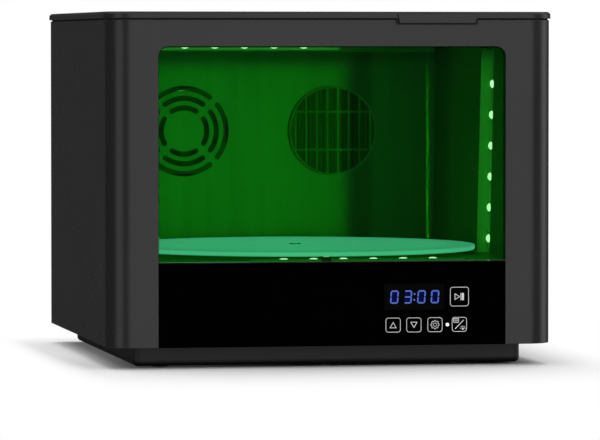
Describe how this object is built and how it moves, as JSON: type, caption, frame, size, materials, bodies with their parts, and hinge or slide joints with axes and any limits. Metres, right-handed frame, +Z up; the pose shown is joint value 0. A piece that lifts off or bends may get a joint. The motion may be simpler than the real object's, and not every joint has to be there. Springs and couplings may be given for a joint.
{
  "type": "dental lab light curing unit",
  "caption": "Bench-top light curing box for dental models: hinged lid over a tinted-window chamber with turntable, light strips, fans, touch keys and display.",
  "frame": {"origin": "middle of the outline seen from above, on the bench under the rubber feet", "axes": "+Z up, the window and controls face -Y, +X is to the right of a person facing the window"},
  "size_m": [0.453, 0.467, 0.3535],
  "materials": {
    "graphite_shell": "fine satin graphite paint",
    "black_base": "matt black moulding",
    "foot_rubber": "matt rubber",
    "green_window": "clear tinted acrylic",
    "fascia_black": "gloss black panel",
    "display_lens": "smoked display window",
    "display_black": "display block",
    "liner_metal": "satin aluminium sheet",
    "zinc_sheet": "zinc plated sheet",
    "opal_disc": "opal acrylic disc",
    "machined_hub": "turned aluminium",
    "steel_pin": "ground steel",
    "led_dome": "clear lamp domes",
    "board_green": "circuit board",
    "bar_white": "white light bar housing",
    "black_plastic": "black moulding",
    "touch_copper": "touch contacts",
    "filter_fleece": "pleated filter fleece",
    "seal_rubber": "soft rubber strip"
  },
  "bodies": {
    "housing": {"base_plinth": "black_base", "rubber_feet": "foot_rubber", "bottom_pan": "zinc_sheet", "front_frame": "graphite_shell", "left_side_panel": "graphite_shell", "right_side_panel": "graphite_shell", "rear_panel": "graphite_shell", "top_deck": "zinc_sheet", "chamber_floor": "liner_metal", "left_liner": "liner_metal", "right_liner": "liner_metal", "back_wall": "liner_metal", "left_light_board": "board_green", "right_light_board": "board_green", "left_leds": "led_dome", "right_leds": "led_dome", "vent_grille": "black_plastic", "vent_filter": "filter_fleece", "top_light_lens": "bar_white", "window_pane": "green_window", "control_fascia": "fascia_black", "display_window": "display_lens", "display_module": "display_black", "control_board": "board_green", "touch_pads": "touch_copper", "top_light_bar": "bar_white", "top_leds": "led_dome", "floor_light_bar": "bar_white", "floor_leds": "led_dome", "chamber_sensor": "black_plastic", "turntable_motor": "zinc_sheet", "left_fan_frame": "black_plastic", "right_fan_frame": "black_plastic", "lid_seal": "seal_rubber", "left_hinge_base": "steel_pin", "right_hinge_base": "steel_pin", "left_hinge_pin": "steel_pin", "right_hinge_pin": "steel_pin", "power_inlet": "black_plastic", "switch_body": "black_plastic", "power_supply": "zinc_sheet", "driver_board": "board_green", "lid_switch": "black_plastic"},
    "turntable": {"turntable_disc": "opal_disc", "turntable_cap": "machined_hub", "turntable_hub": "machined_hub"},
    "lid": {"lid_shell": "graphite_shell", "lid_tray": "liner_metal", "lid_pull": "graphite_shell", "left_hinge_leaf": "steel_pin", "right_hinge_leaf": "steel_pin"},
    "left_fan": {"left_fan_rotor": "black_plastic"},
    "right_fan": {"right_fan_rotor": "black_plastic"},
    "rocker": {"power_rocker": "black_plastic"}
  },
  "joints": [
    {"name": "lid_hinge", "type": "hinge", "parent": "housing", "child": "lid", "pos_m": [0, 0.23, 0.3461], "axis": [-1, 0, 0], "range_deg": [0, 100]},
    {"name": "turntable_spin", "type": "hinge", "parent": "housing", "child": "turntable", "pos_m": [0, -0.0205, 0.1144], "axis": [0, 0, 1], "continuous": true},
    {"name": "left_fan_spin", "type": "hinge", "parent": "housing", "child": "left_fan", "pos_m": [-0.081, 0.2269, 0.2275], "axis": [0, -1, 0], "continuous": true},
    {"name": "right_fan_spin", "type": "hinge", "parent": "housing", "child": "right_fan", "pos_m": [0.081, 0.2269, 0.2275], "axis": [0, -1, 0], "continuous": true},
    {"name": "power_rocker_tilt", "type": "hinge", "parent": "housing", "child": "rocker", "pos_m": [-0.105, 0.226, 0.062], "axis": [0, 0, 1], "range_deg": [0, 16]}
  ]
}
